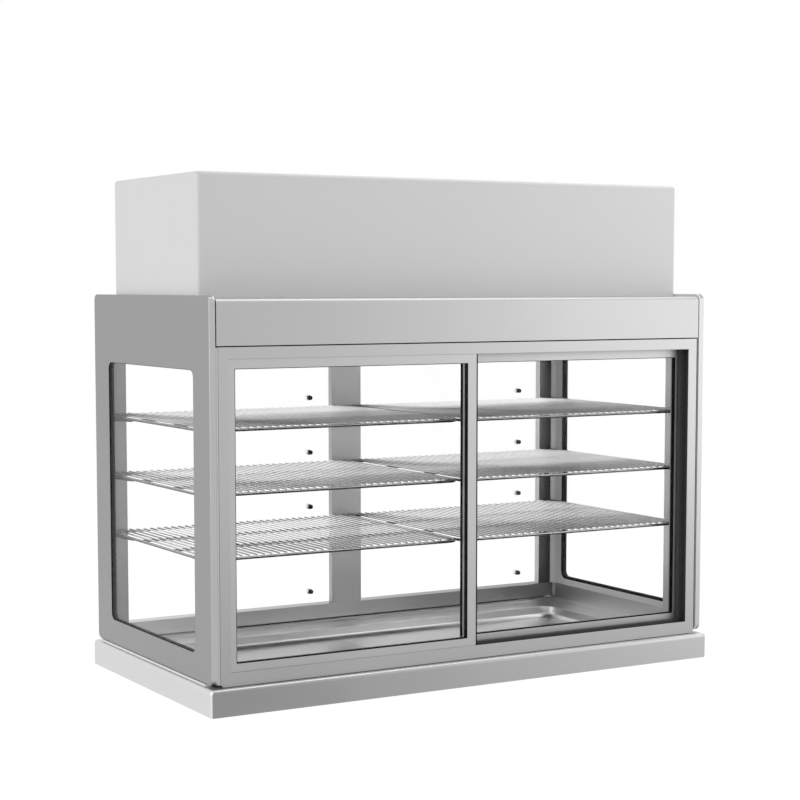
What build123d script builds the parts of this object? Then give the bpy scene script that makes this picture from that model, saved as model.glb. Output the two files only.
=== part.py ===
from build123d import *
import os
from math import cos, pi, sin

os.makedirs("parts", exist_ok=True)

# Sizes in millimetres. X runs along the width, Y from the sliding doors to the
# customer flaps, Z up. The origin is the centre of the base on its resting plane.

# Base
base_width = 1200
base_depth = 618
base_height = 53
base_wall = 2
base_edge = 9
base_fold = 6

# Side panels
panel_inset = 7.5
panel_front_inset = 15
panel_back_inset = 13
panel_thickness = 13
panel_skin = 1.5
panel_height = 743
panel_foot = 6
panel_corner = 13
panel_edge = 1.2
window_front_margin = 75
window_back_margin = 79
window_sill = 52
window_head = 142
window_corner = 15
strip_front_gap = 26
strip_back_gap = 22
strip_out = 2.5
strip_inset = 2
strip_lip = 1.2

# Double glazing, shared by windows and doors
pane = 4
glazing_bite = 4

# Front frame
frame_gap = 5.5
frame_lift = 1
frame_height = 651
frame_plate = 1.2
frame_stile = 22.5
frame_sill = 27
frame_head = 23
frame_depth = 50
frame_wall = 1.5
frame_notch = 6
packer_height = 30
packer_depth = 25
packer_levels = 3

# Sliding doors
door_thickness = 16
door_skin = 1.5
door_stile = 21
door_bottom_rail = 26.5
door_top_rail = 30.5
door_bite = 8.5
door_drop = 10
door_rise = 12
door_reach = 4.6
door_clear = 0.5
door_lift_clear = 5
door_spacing = 28.3
flange_reach = 2.6
flange_depth = 7
edge_seal = 2.6
glide_length = 60
glide_width = 8
glide_height = 5.3
glide_gap = 0.3

# Tracks and jambs
track_floor = 4
track_rib = 9
track_rib_rise = 3.5
track_lip = 3
jamb_wall = 3
jamb_fin = 6

# Header, roof and upper housing
header_gap = 2.3
header_height = 89.5
header_inset = 2.3
header_edge = 9
header_return = 45
deck_gap = 0.5
deck_fold = 20
deck_lap = 12
air_slot_margin = 40
air_slot_length = 110
air_slot_width = 12
air_slot_pitch = 130
air_slot_back = 26
sheet = 2
housing_front_inset = 83
housing_depth = 424
housing_side_inset = 22.5
housing_height = 242.5
housing_edge = 8
housing_fold = 6
vent_slots = 10
vent_slot_length = 150
vent_slot_width = 10
vent_pitch = 28

# Customer side
post_depth = 16
post_width = 44.5
centre_post_width = 76
post_cove = 10
post_setback = 39.5
sill_depth = 34
sill_height = 33
sill_gap = 4
rear_header_drop = 41

# Shelves
shelf_levels = 3
shelf_first = 292.3
shelf_pitch = 125.2
shelf_side_gap = 3.5
shelf_gap = 5
shelf_back_gap = 3
shelf_front_gap = 5
ring_rod = 6
ring_corner = 20
ring_corner_steps = 3
ring_sides = 8
wire_sides = 4
cross_rods = 2
wire = 3.6
wire_pitch = 16.2
wire_margin = 8
wire_seat = 0.02
bracket_length = 110
bracket_root = 8
bracket_tip = 3.5
bracket_thickness = 3
bracket_side = 13.5
bracket_inset = 10
bracket_tab = 2
bracket_tab_rise = 7
hook_length = 8
hook_height = 7
hook_fit = 0.3

# Flaps
flap_thickness = 5
flap_overlap = 18
flap_gap = 10
flap_edge_gap = 2
flap_sill_gap = 4
ear_radius = 4.5
ear_length = 12
pin_radius = 2.5
pin_fit = 0.05
lug_radius = 5.5
lug_width = 8
lug_gap = 0.5
lug_bore_sides = 16
knob_radius = 7
knob_height = 12.5
knob_edge = 2
knob_sides = 12
knob_rise = 22.4
knob_side = 59.3
stud_radius = 3
stud_fit = 0.1
cap_radius = 5
cap_height = 3

# Floor pan
pan_sheet = 1.5
pan_fit = 0.5
pan_gap = 1
well_fit = 1.5
pan_upstand = 38
pan_border = 24
pan_step = 2.5
pan_slope = 10
well_side_margin = 81.5
well_front_margin = 60
well_back_margin = 100.5
well_depth = 24
well_corner = 32
well_cove = 10
trim_width = 64

# Cooling machinery
fan_radius = 75
fan_hub = 18
fan_blades = 5
fan_root_width = 20
fan_twist = 38
fan_tip_gap = 3
fan_clear = 1
fan_blade = 2
blade_sink = 4
shroud_wall = 3
shroud_depth = 30
shroud_sides = 24
strut_width = 8
motor_length = 15
compressor_radius = 78
compressor_height = 120
compressor_edge = 30
compressor_flange = 12
condenser_width = 260
condenser_height = 190
condenser_depth = 55
condenser_fins = 12
condenser_fin_depth = 6
evaporator_width = 620
evaporator_depth = 110
evaporator_height = 66
evaporator_back_gap = 48
evaporator_fan_gap = 11.25
evaporator_fins = 20
evaporator_fin_depth = 6
gland_radius = 11
gland_neck = 8
gland_bore = 4.5
gland_length = 8
gland_sides = 12
gland_rise = 33

# Derived places
half_width = base_width / 2
front = -base_depth / 2 + panel_front_inset
back = base_depth / 2 - panel_back_inset
panel_out = half_width - panel_inset
panel_in = panel_out - panel_thickness
panel_bottom = base_height + panel_foot
panel_top = panel_bottom + panel_height
panel_depth = back - front
window_bottom = panel_bottom + window_sill
window_top = panel_top - window_head
frame_half = panel_in - frame_gap
frame_bottom = base_height + frame_lift
frame_top = frame_bottom + frame_height
frame_back = front + frame_depth
opening_half = frame_half - frame_stile
opening_bottom = frame_bottom + frame_sill
opening_top = frame_top - frame_head
door_front = front + frame_plate + door_clear
door_low = opening_bottom - door_drop
door_high = opening_top + door_rise
door_out = opening_half + door_bite
track_low = door_low - glide_height
track_high = door_high + door_lift_clear
header_bottom = frame_top + header_gap
header_top = header_bottom + header_height
post_front = back - post_setback
post_back = post_front + post_depth
flap_front = post_back + flap_gap
flap_back = flap_front + flap_thickness
flap_middle = (flap_front + flap_back) / 2
rear_open_half = panel_in - post_width
sill_bottom = base_height + pan_sheet + sill_gap
sill_top = sill_bottom + sill_height
housing_half = half_width - housing_side_inset
housing_front = front + housing_front_inset
housing_back = housing_front + housing_depth
ceiling_top = frame_top
rear_opening_top = ceiling_top - rear_header_drop
glazing_inner = panel_thickness - 2 * panel_skin
door_glazing = door_thickness - 2 * door_skin


def save(builder, name):
    builder.part.label = name
    export_step(builder.part, f"parts/{name}.step")


# Base skirt, a folded tray turned upside down with an opening for the well
well_half = panel_in - well_side_margin
well_front = frame_back + well_front_margin
well_back = post_front - well_back_margin
with BuildPart() as base_skirt:
    with BuildSketch():
        Rectangle(base_width, base_depth)
    extrude(amount=base_height)
    fillet(base_skirt.edges().filter_by(Axis.Z), base_edge)
    fillet(base_skirt.faces().sort_by(Axis.Z)[-1].edges(), base_edge - base_wall / 2)
    with BuildSketch() as base_hollow:
        Rectangle(base_width - 2 * base_wall, base_depth - 2 * base_wall)
        chamfer(base_hollow.vertices(), base_fold)
    extrude(amount=base_height - base_wall - base_fold, mode=Mode.SUBTRACT)
    with BuildSketch(Plane.XY.offset(base_height - base_wall - base_fold)):
        add(base_hollow.sketch)
    extrude(amount=base_fold, taper=45, mode=Mode.SUBTRACT)
    with BuildSketch(Plane.XY.offset(base_height)):
        with Locations((0, (well_front + well_back) / 2)):
            Rectangle(2 * (well_half + pan_sheet + well_fit), well_back - well_front + 2 * (pan_sheet + well_fit))
    extrude(amount=-2 * base_wall, mode=Mode.SUBTRACT)
save(base_skirt, "base_skirt")

# Floor pan, side upstands, a raised border and the shallow well
pan_half = panel_in - pan_fit
pan_front = frame_back + pan_gap
pan_back = post_front + sill_depth - 2 * sheet
pan_width = 2 * pan_half
pan_level = base_height + pan_sheet
upstand_length = post_front - post_cove - pan_gap - pan_front
border_width = pan_width - 2 * pan_border
border_length = post_front - pan_front - 2 * pan_border
with BuildPart() as floor_pan:
    with BuildSketch(Plane.XY.offset(base_height)):
        with Locations((0, (pan_front + pan_back) / 2)):
            Rectangle(pan_width, pan_back - pan_front)
    extrude(amount=pan_sheet)
    with BuildSketch(Plane.XY.offset(pan_level)):
        with Locations((0, (pan_front + post_front) / 2)):
            Rectangle(pan_width, post_front - pan_front)
    extrude(amount=pan_step)
    for drop, inset in ((0, 0), (pan_step, pan_slope)):
        with BuildSketch(Plane.XY.offset(pan_level + pan_step - drop)):
            with Locations((0, (pan_front + post_front) / 2)):
                Rectangle(border_width - 2 * inset, border_length - 2 * inset)
    loft(mode=Mode.SUBTRACT)
    with BuildSketch(Plane.XY.offset(pan_level)):
        with Locations((0, pan_front + upstand_length / 2)):
            with GridLocations(pan_width - pan_sheet, 0, 2, 1):
                Rectangle(pan_sheet, upstand_length)
    extrude(amount=pan_upstand)
    with BuildSketch(Plane.XY.offset(pan_level)):
        with Locations((0, (well_front + well_back) / 2)):
            RectangleRounded(
                2 * (well_half + pan_sheet), well_back - well_front + 2 * pan_sheet, well_corner
            )
    extrude(amount=-well_depth - pan_sheet)
    with BuildSketch(Plane.XY.offset(pan_level)):
        with Locations((0, (well_front + well_back) / 2)):
            RectangleRounded(2 * well_half, well_back - well_front, well_corner - pan_sheet)
    extrude(amount=-well_depth, mode=Mode.SUBTRACT)
    well_floor = floor_pan.faces().filter_by(Plane.XY).sort_by(Axis.Z)[1]
    fillet(well_floor.outer_wire().edges(), well_cove)
save(floor_pan, "floor_pan")

# Side panels, each a slab with a rounded window and a groove for the glazing
window_middle_y = (front + window_front_margin + back - window_back_margin) / 2
window_middle_z = (window_bottom + window_top) / 2
window_width = panel_depth - window_front_margin - window_back_margin
window_height = window_top - window_bottom
for side, side_name in ((-1, "left"), (1, "right")):
    face = Plane(origin=(side * panel_out, 0, 0), x_dir=(0, side, 0), z_dir=(side, 0, 0))
    with BuildPart() as side_panel:
        with BuildSketch(face):
            with Locations((side * (front + back) / 2, (panel_bottom + panel_top) / 2)):
                RectangleRounded(panel_depth, panel_height, panel_corner)
        extrude(amount=-panel_thickness)
        outer_face = side_panel.faces().sort_by(Axis.X)[-1 if side > 0 else 0]
        chamfer(outer_face.outer_wire().edges(), panel_edge)
        with BuildSketch(face):
            with Locations((side * window_middle_y, window_middle_z)):
                RectangleRounded(window_width, window_height, window_corner)
        extrude(amount=-panel_thickness, mode=Mode.SUBTRACT)
        with BuildSketch(face.offset(-panel_skin)):
            with Locations((side * window_middle_y, window_middle_z)):
                Rectangle(window_width + 2 * glazing_bite, window_height + 2 * glazing_bite)
        extrude(amount=-glazing_inner, mode=Mode.SUBTRACT)
    save(side_panel, f"side_panel_{side_name}")

# Side window gaskets, one black ring in each panel's groove
with BuildPart() as side_gaskets:
    for side in (-1, 1):
        with BuildSketch(Plane.YZ.offset(side * (panel_out - panel_skin - glazing_inner / 2))):
            with Locations((window_middle_y, window_middle_z)):
                Rectangle(window_width + 2 * glazing_bite, window_height + 2 * glazing_bite)
                RectangleRounded(window_width, window_height, window_corner, mode=Mode.SUBTRACT)
        extrude(amount=glazing_inner / 2, both=True)
save(side_gaskets, "side_gaskets")

# Side window glass, two panes in each gasket
with BuildPart() as side_glass:
    for side in (-1, 1):
        for depth in (panel_skin + pane / 2, panel_thickness - panel_skin - pane / 2):
            with BuildSketch(Plane.YZ.offset(side * (panel_out - depth))):
                with Locations((window_middle_y, window_middle_z)):
                    RectangleRounded(window_width, window_height, window_corner)
            extrude(amount=pane / 2, both=True)
save(side_glass, "side_glass")

# Foot strips that carry the side panels on the base
strip_length = panel_depth - strip_front_gap - strip_back_gap
strip_width = panel_thickness + strip_out - strip_inset
strip_y = front + strip_front_gap + strip_length / 2
with BuildPart() as foot_strips:
    with BuildSketch(Plane.XY.offset(base_height)):
        with Locations((0, strip_y)):
            with GridLocations(2 * (panel_out + strip_out) - strip_width, 0, 2, 1):
                Rectangle(strip_width, strip_length)
    extrude(amount=panel_foot)
    with BuildSketch(Plane.XY.offset(base_height)):
        with Locations((0, strip_y)):
            with GridLocations(2 * (panel_out + strip_out), 0, 2, 1):
                Rectangle(2 * strip_out, strip_length)
    extrude(amount=strip_lip, mode=Mode.SUBTRACT)
save(foot_strips, "foot_strips")

# Header over the doors, a folded channel with a rounded front edge
header_half = panel_in - header_inset
header_middle_z = (header_bottom + header_top) / 2
with BuildPart() as header:
    with BuildSketch(Plane.YZ.offset(-header_half)) as header_outline:
        with Locations((front + header_return / 2, header_middle_z)):
            Rectangle(header_return, header_height)
        fillet(header_outline.vertices().group_by(Axis.Y)[-1].sort_by(Axis.X)[0], header_edge)
    extrude(amount=2 * header_half)
    with BuildSketch(Plane.YZ.offset(-header_half)) as header_hollow:
        with Locations((front + sheet + header_return / 2, header_middle_z)):
            Rectangle(header_return, header_height - 2 * sheet)
        fillet(header_hollow.vertices().group_by(Axis.Y)[-1].sort_by(Axis.X)[0], header_edge - sheet)
    extrude(amount=2 * header_half, mode=Mode.SUBTRACT)
save(header, "header")

# Roof deck, folded down along the side panels, with a lip under the header's return
rear_plate_back = back - sheet
deck_front = front + header_return + deck_gap
deck_back = rear_plate_back - sheet
with BuildPart() as roof_deck:
    with BuildSketch(Plane.XY.offset(header_top - sheet)):
        with Locations((0, (deck_front + deck_back) / 2)):
            Rectangle(2 * panel_in, deck_back - deck_front)
    extrude(amount=sheet)
    with BuildSketch(Plane.XY.offset(header_top - sheet)):
        with Locations((0, (deck_front + deck_back) / 2)):
            Rectangle(2 * panel_in, deck_back - deck_front)
            Rectangle(2 * (panel_in - sheet), deck_back - deck_front, mode=Mode.SUBTRACT)
    extrude(amount=-deck_fold)
    with BuildSketch(Plane.XY.offset(header_top - sheet)):
        with Locations((0, deck_front)):
            Rectangle(2 * header_half, 2 * deck_lap)
    extrude(amount=-sheet)
save(roof_deck, "roof_deck")

# Ceiling liner, with the fan hole and a row of air slots at the back
ceiling_half = frame_half - frame_gap
ceiling_back = post_front
shroud_radius = fan_radius + fan_tip_gap + shroud_wall
evaporator_front = ceiling_back - evaporator_back_gap - evaporator_depth
fan_y = evaporator_front - evaporator_fan_gap - shroud_radius
air_slots = int((2 * (ceiling_half - air_slot_margin) + air_slot_pitch - air_slot_length) // air_slot_pitch)
with BuildPart() as ceiling_liner:
    with BuildSketch(Plane.XY.offset(ceiling_top - sheet)):
        with Locations((0, (frame_back + ceiling_back) / 2)):
            Rectangle(2 * ceiling_half, ceiling_back - frame_back)
        with Locations((0, fan_y)):
            RegularPolygon(fan_radius + fan_tip_gap, shroud_sides, major_radius=False, mode=Mode.SUBTRACT)
        with Locations((0, ceiling_back - air_slot_back)):
            with GridLocations(air_slot_pitch, 0, air_slots, 1):
                Rectangle(air_slot_length, air_slot_width, mode=Mode.SUBTRACT)
    extrude(amount=sheet)
save(ceiling_liner, "ceiling_liner")

# Rear header over the flaps, a folded channel
with BuildPart() as rear_header:
    with BuildSketch(Plane.YZ.offset(-header_half)):
        with BuildLine():
            Polyline(
                (post_front, rear_opening_top),
                (rear_plate_back, rear_opening_top),
                (rear_plate_back, header_top),
                (rear_plate_back - sheet, header_top),
                (rear_plate_back - sheet, rear_opening_top + sheet),
                (post_front + sheet, rear_opening_top + sheet),
                (post_front + sheet, ceiling_top),
                (post_front, ceiling_top),
                close=True,
            )
        make_face()
    extrude(amount=2 * header_half)
save(rear_header, "rear_header")

# Upper housing, an open-bottomed cover with air slots in its top
housing_top = header_top + housing_height
housing_middle = (housing_front + housing_back) / 2
gland_x = -housing_half / 2
gland_z = header_top + gland_rise
with BuildPart() as upper_housing:
    with BuildSketch(Plane.XY.offset(header_top)):
        with Locations((0, housing_middle)):
            Rectangle(2 * housing_half, housing_depth)
    extrude(amount=housing_height)
    fillet(upper_housing.edges().filter_by(Axis.Z), housing_edge)
    fillet(upper_housing.faces().sort_by(Axis.Z)[-1].outer_wire().edges(), housing_edge - sheet / 2)
    with BuildSketch(Plane.XY.offset(header_top)) as housing_hollow:
        with Locations((0, housing_middle)):
            Rectangle(2 * (housing_half - sheet), housing_depth - 2 * sheet)
        chamfer(housing_hollow.vertices(), housing_fold)
    extrude(amount=housing_height - sheet - housing_fold, mode=Mode.SUBTRACT)
    with BuildSketch(Plane.XY.offset(housing_top - sheet - housing_fold)):
        add(housing_hollow.sketch_local)
    extrude(amount=housing_fold, taper=45, mode=Mode.SUBTRACT)
    with BuildSketch(Plane.XY.offset(housing_top)):
        with Locations((0, housing_middle)):
            with GridLocations(housing_half, 0, 2, 1):
                with GridLocations(vent_pitch, 0, vent_slots, 1):
                    Rectangle(vent_slot_width, vent_slot_length)
    extrude(amount=-2 * sheet, mode=Mode.SUBTRACT)
    with BuildSketch(Plane.XZ.offset(-housing_back)):
        with Locations((gland_x, gland_z)):
            RegularPolygon(gland_neck, gland_sides)
    extrude(amount=2 * sheet, mode=Mode.SUBTRACT)
save(upper_housing, "upper_housing")

# Cable gland in the housing's back wall
with BuildPart() as cable_gland:
    with BuildSketch(Plane.XZ.offset(-housing_back + sheet)):
        with Locations((gland_x, gland_z)):
            RegularPolygon(gland_neck, gland_sides)
    extrude(amount=-sheet)
    with BuildSketch(Plane.XZ.offset(-housing_back)):
        with Locations((gland_x, gland_z)):
            RegularPolygon(gland_radius, 6)
    extrude(amount=-gland_length)
    with BuildSketch(Plane.XZ.offset(-housing_back)):
        with Locations((gland_x, gland_z)):
            RegularPolygon(gland_bore, gland_sides)
    extrude(amount=gland_length + sheet, both=True, mode=Mode.SUBTRACT)
save(cable_gland, "cable_gland")

# Fixed door frame, a front plate round the opening and a box flange behind it
frame_middle_z = (frame_bottom + frame_top) / 2
front_plane = Plane.XZ.offset(-front)
with BuildPart() as door_frame:
    with BuildSketch(front_plane) as frame_outline:
        with Locations((0, frame_middle_z)):
            Rectangle(2 * frame_half, frame_height)
        chamfer(frame_outline.vertices().group_by(Axis.Y)[0], frame_notch)
    extrude(amount=-frame_depth)
    with BuildSketch(front_plane):
        with Locations((0, (opening_bottom + opening_top) / 2)):
            Rectangle(2 * opening_half, opening_top - opening_bottom)
    extrude(amount=-frame_depth, mode=Mode.SUBTRACT)
    with BuildSketch(front_plane.offset(-frame_plate)) as frame_hollow:
        with Locations((0, frame_middle_z)):
            Rectangle(2 * (frame_half - frame_wall), frame_height - 2 * frame_wall)
        chamfer(frame_hollow.vertices().group_by(Axis.Y)[0], frame_notch)
    extrude(amount=-frame_depth, mode=Mode.SUBTRACT)
save(door_frame, "door_frame")

# Tracks below and above the doors, each with a rib between the two runways
track_half = door_out + jamb_wall
rib_front = door_front + door_thickness + (door_spacing - door_thickness - track_rib) / 2
rib_middle = rib_front + track_rib / 2
track_front = front + frame_plate
track_back = frame_back
fin_length = jamb_wall + door_bite + jamb_fin
with BuildPart() as door_tracks:
    with BuildSketch(Plane.YZ.offset(jamb_wall - track_half)):
        with Locations((track_front, track_low)):
            Rectangle(track_back - track_front, track_floor, align=(Align.MIN, Align.MAX))
        with Locations((track_back, track_low)):
            Rectangle(track_lip, opening_bottom - track_low, align=(Align.MAX, Align.MIN))
        with Locations((track_front, track_high)):
            Rectangle(track_back - track_front, track_floor, align=(Align.MIN, Align.MIN))
        with Locations((track_back, track_high)):
            Rectangle(track_lip, track_high - opening_top, align=(Align.MAX, Align.MAX))
    extrude(amount=2 * (track_half - jamb_wall))
    with BuildSketch(Plane.YZ.offset(fin_length - track_half)):
        with Locations((rib_middle, track_low)):
            Rectangle(track_rib, opening_bottom + track_rib_rise - track_low, align=(Align.CENTER, Align.MIN))
        with Locations((rib_middle, track_high)):
            Rectangle(track_rib, track_high - opening_top, align=(Align.CENTER, Align.MAX))
    extrude(amount=2 * (track_half - fin_length))
save(door_tracks, "door_tracks")

# Jamb seals, upright channels with a fin between the two doors
with BuildPart() as jamb_seals:
    with BuildSketch(Plane.XY.offset(track_low)):
        for side in (-1, 1):
            with Locations((side * (track_half - jamb_wall / 2), (track_front + track_back) / 2)):
                Rectangle(jamb_wall, track_back - track_front)
            with Locations((side * (track_half - fin_length / 2), rib_middle)):
                Rectangle(fin_length, track_rib)
    extrude(amount=track_high - track_low)
save(jamb_seals, "jamb_seals")

# Packers between the door frame and the side panels
with BuildPart() as frame_packers:
    with BuildSketch(Plane.YZ.offset(frame_half)):
        with Locations((front + frame_depth / 2, frame_middle_z)):
            with GridLocations(0, (frame_height - 2 * packer_height) / (packer_levels - 1), 1, packer_levels):
                Rectangle(packer_depth, packer_height)
    extrude(amount=frame_gap)
    mirror(about=Plane.YZ)
save(frame_packers, "frame_packers")

# Sliding doors, the front one on the left and the rear one on the right
door_inner = -door_reach
door_width = door_out - door_inner
door_height = door_high - door_low
glass_width = door_width - 2 * door_stile
glass_height = door_height - door_bottom_rail - door_top_rail
glass_middle_z = door_low + door_bottom_rail + glass_height / 2
for side, door_name in ((-1, "front_door"), (1, "rear_door")):
    face_y = door_front if side < 0 else door_front + door_spacing
    middle_x = side * (door_inner + door_out) / 2
    door_plane = Plane.XZ.offset(-face_y)
    inner_x = side * door_inner
    flange_plane = door_plane.offset(flange_depth - door_thickness) if side < 0 else door_plane
    seal_plane = door_plane if side < 0 else door_plane.offset(-flange_depth)

    with BuildPart() as door_shell:
        with BuildSketch(door_plane):
            with Locations((middle_x, (door_low + door_high) / 2)):
                Rectangle(door_width, door_height)
            with Locations((middle_x, glass_middle_z)):
                Rectangle(glass_width, glass_height, mode=Mode.SUBTRACT)
        extrude(amount=-door_thickness)
        with BuildSketch(door_plane.offset(-door_skin)):
            with Locations((middle_x, glass_middle_z)):
                Rectangle(glass_width + 2 * glazing_bite, glass_height + 2 * glazing_bite)
        extrude(amount=-door_glazing, mode=Mode.SUBTRACT)
        with BuildSketch(flange_plane):
            with Locations((inner_x - side * flange_reach / 2, (door_low + door_high) / 2)):
                Rectangle(flange_reach, door_height)
        extrude(amount=-flange_depth)
    save(door_shell, f"{door_name}_frame")

    with BuildPart() as door_seal:
        with BuildSketch(door_plane.offset(-door_skin)):
            with Locations((middle_x, glass_middle_z)):
                Rectangle(glass_width + 2 * glazing_bite, glass_height + 2 * glazing_bite)
                Rectangle(glass_width, glass_height, mode=Mode.SUBTRACT)
        extrude(amount=-door_glazing)
        with BuildSketch(seal_plane):
            with Locations((inner_x - side * edge_seal / 2, (door_low + door_high) / 2)):
                Rectangle(edge_seal, door_height)
        extrude(amount=flange_depth - door_thickness)
    save(door_seal, f"{door_name}_seal")

    with BuildPart() as door_glass:
        for depth in (door_skin, door_thickness - door_skin - pane):
            with BuildSketch(door_plane.offset(-depth)):
                with Locations((middle_x, glass_middle_z)):
                    Rectangle(glass_width, glass_height)
            extrude(amount=-pane)
    save(door_glass, f"{door_name}_glass")

    with BuildPart() as door_glides:
        with BuildSketch(Plane.XY.offset(door_low)):
            with Locations((middle_x, face_y + door_thickness / 2)):
                with GridLocations(door_width - 2 * glide_length, 0, 2, 1):
                    Rectangle(glide_length, glide_width)
        extrude(amount=glide_gap - glide_height)
    save(door_glides, f"{door_name}_glides")

# Corner posts of the customer side, coved where they meet the side panels, with
# slots for the shelf brackets
post_bottom = sill_top
post_height = rear_opening_top - post_bottom
shelf_heights = [shelf_first + level * shelf_pitch for level in range(shelf_levels)]
rod_underside = -ring_rod / 2
bracket_outer_x = panel_in - bracket_side
bracket_inner_x = centre_post_width / 2 - bracket_inset
slot_width = bracket_thickness + 2 * hook_fit
slot_height = hook_height + 2 * hook_fit
slot_drop = bracket_root - hook_height / 2
for side, side_name in ((-1, "left"), (1, "right")):
    with BuildPart() as rear_post:
        with BuildSketch(Plane.XY.offset(post_bottom)):
            with Locations((side * (panel_in - post_width / 2), post_front + post_depth / 2)):
                Rectangle(post_width, post_depth)
            with Locations((side * (panel_in - post_cove / 2), post_front - post_cove / 2)):
                Rectangle(post_cove, post_cove)
            with Locations((side * (panel_in - post_cove), post_front - post_cove)):
                Circle(post_cove, mode=Mode.SUBTRACT)
        extrude(amount=post_height)
        with BuildSketch(Plane.XZ.offset(-post_front)):
            for height in shelf_heights:
                with Locations((side * bracket_outer_x, height + rod_underside - slot_drop)):
                    Rectangle(slot_width, slot_height)
        extrude(amount=-hook_length - hook_fit, mode=Mode.SUBTRACT)
    save(rear_post, f"rear_post_{side_name}")

# Centre post between the two bays
with BuildPart() as centre_post:
    with BuildSketch(Plane.XY.offset(post_bottom)):
        with Locations((0, post_front + post_depth / 2)):
            Rectangle(centre_post_width, post_depth)
    extrude(amount=post_height)
    with BuildSketch(Plane.XZ.offset(-post_front)):
        for height in shelf_heights:
            for side in (-1, 1):
                with Locations((side * bracket_inner_x, height + rod_underside - slot_drop)):
                    Rectangle(slot_width, slot_height)
    extrude(amount=-hook_length - hook_fit, mode=Mode.SUBTRACT)
save(centre_post, "centre_post")

# Rear sill under the flaps, a folded channel open below
with BuildPart() as rear_sill:
    with BuildSketch(Plane.YZ.offset(-header_half)):
        with Locations((post_front, sill_top)):
            Rectangle(sill_depth, sheet, align=(Align.MIN, Align.MAX))
            Rectangle(sheet, sill_height, align=(Align.MIN, Align.MAX))
        with Locations((post_front + sill_depth, sill_top)):
            Rectangle(sheet, sill_top - base_height, align=(Align.MAX, Align.MAX))
    extrude(amount=2 * header_half)
save(rear_sill, "rear_sill")

# Corner trim, an upright strip that closes the right front corner beside the frame
trim_bottom = pan_level + pan_upstand
with BuildPart() as corner_trim:
    with BuildSketch(Plane.XY.offset(trim_bottom)):
        with Locations((panel_in - sheet / 2, frame_back + trim_width / 2)):
            Rectangle(sheet, trim_width)
    extrude(amount=ceiling_top - sheet - trim_bottom)
save(corner_trim, "corner_trim")

# Wire shelves, three levels in each bay: a bent ring, cross rods and the wires
shelf_out = panel_in - shelf_side_gap
shelf_in = shelf_gap / 2
shelf_middle_x = (shelf_in + shelf_out) / 2
shelf_back = post_front - shelf_back_gap
shelf_front = frame_back + shelf_front_gap
shelf_middle_y = (shelf_front + shelf_back) / 2
ring_width = shelf_out - shelf_in - ring_rod
ring_depth = shelf_back - shelf_front - ring_rod
wire_count = int((ring_width - 2 * wire_margin) // wire_pitch) + 1
half_side = 180 / ring_sides
corner_turns = [step * pi / 2 / ring_corner_steps for step in range(ring_corner_steps + 1)]
ring_points = [(ring_width / 2, 0)]
for quarter, (sx, sy) in enumerate(((1, 1), (-1, 1), (-1, -1), (1, -1))):
    for turn in corner_turns:
        angle = quarter * pi / 2 + turn
        corner_x = sx * (ring_width / 2 - ring_corner) + ring_corner * cos(angle)
        corner_y = sy * (ring_depth / 2 - ring_corner) + ring_corner * sin(angle)
        ring_points.append((corner_x, corner_y))
with BuildPart() as shelf_form:
    with BuildLine() as ring_path:
        Polyline(*ring_points, close=True)
    with BuildSketch(Plane((ring_width / 2, 0, 0), z_dir=(0, 1, 0))):
        RegularPolygon(ring_rod / 2, ring_sides, major_radius=False, rotation=half_side)
    sweep(path=ring_path.line, transition=Transition.RIGHT)
    with BuildSketch(Plane.YZ):
        with GridLocations(ring_depth / (cross_rods + 1), 0, cross_rods, 1):
            RegularPolygon(ring_rod / 2, ring_sides, major_radius=False, rotation=half_side)
    extrude(amount=ring_width / 2, both=True)
    with BuildSketch(Plane.XZ):
        with Locations((0, (ring_rod + wire) / 2 + wire_seat)):
            with GridLocations(wire_pitch, 0, wire_count, 1):
                RegularPolygon(wire / 2, wire_sides, major_radius=False, rotation=180 / wire_sides)
    extrude(amount=ring_depth / 2, both=True)

for side, side_name in ((-1, "left"), (1, "right")):
    for level_name, height in zip(("low", "middle", "high"), shelf_heights):
        with BuildPart() as shelf:
            with Locations((side * shelf_middle_x, shelf_middle_y, height)):
                add(shelf_form.part)
        save(shelf, f"shelf_{side_name}_{level_name}")

# Shelf brackets, tapered arms with a tab against the post and a hook in its slot
with BuildPart() as shelf_brackets:
    for bracket_x in (-bracket_outer_x, -bracket_inner_x, bracket_inner_x, bracket_outer_x):
        with BuildSketch(Plane.YZ.offset(bracket_x)):
            for height in shelf_heights:
                with Locations((post_front, height + rod_underside)):
                    Polygon(
                        (0, -bracket_root),
                        (0, bracket_tab_rise),
                        (-bracket_tab, bracket_tab_rise),
                        (-bracket_tab, 0),
                        (-bracket_length, 0),
                        (-bracket_length, -bracket_tip),
                        align=None,
                    )
                with Locations((post_front, height + rod_underside - slot_drop)):
                    Rectangle(hook_length, hook_height, align=(Align.MIN, Align.CENTER))
        extrude(amount=bracket_thickness / 2, both=True)
save(shelf_brackets, "shelf_brackets")

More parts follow.
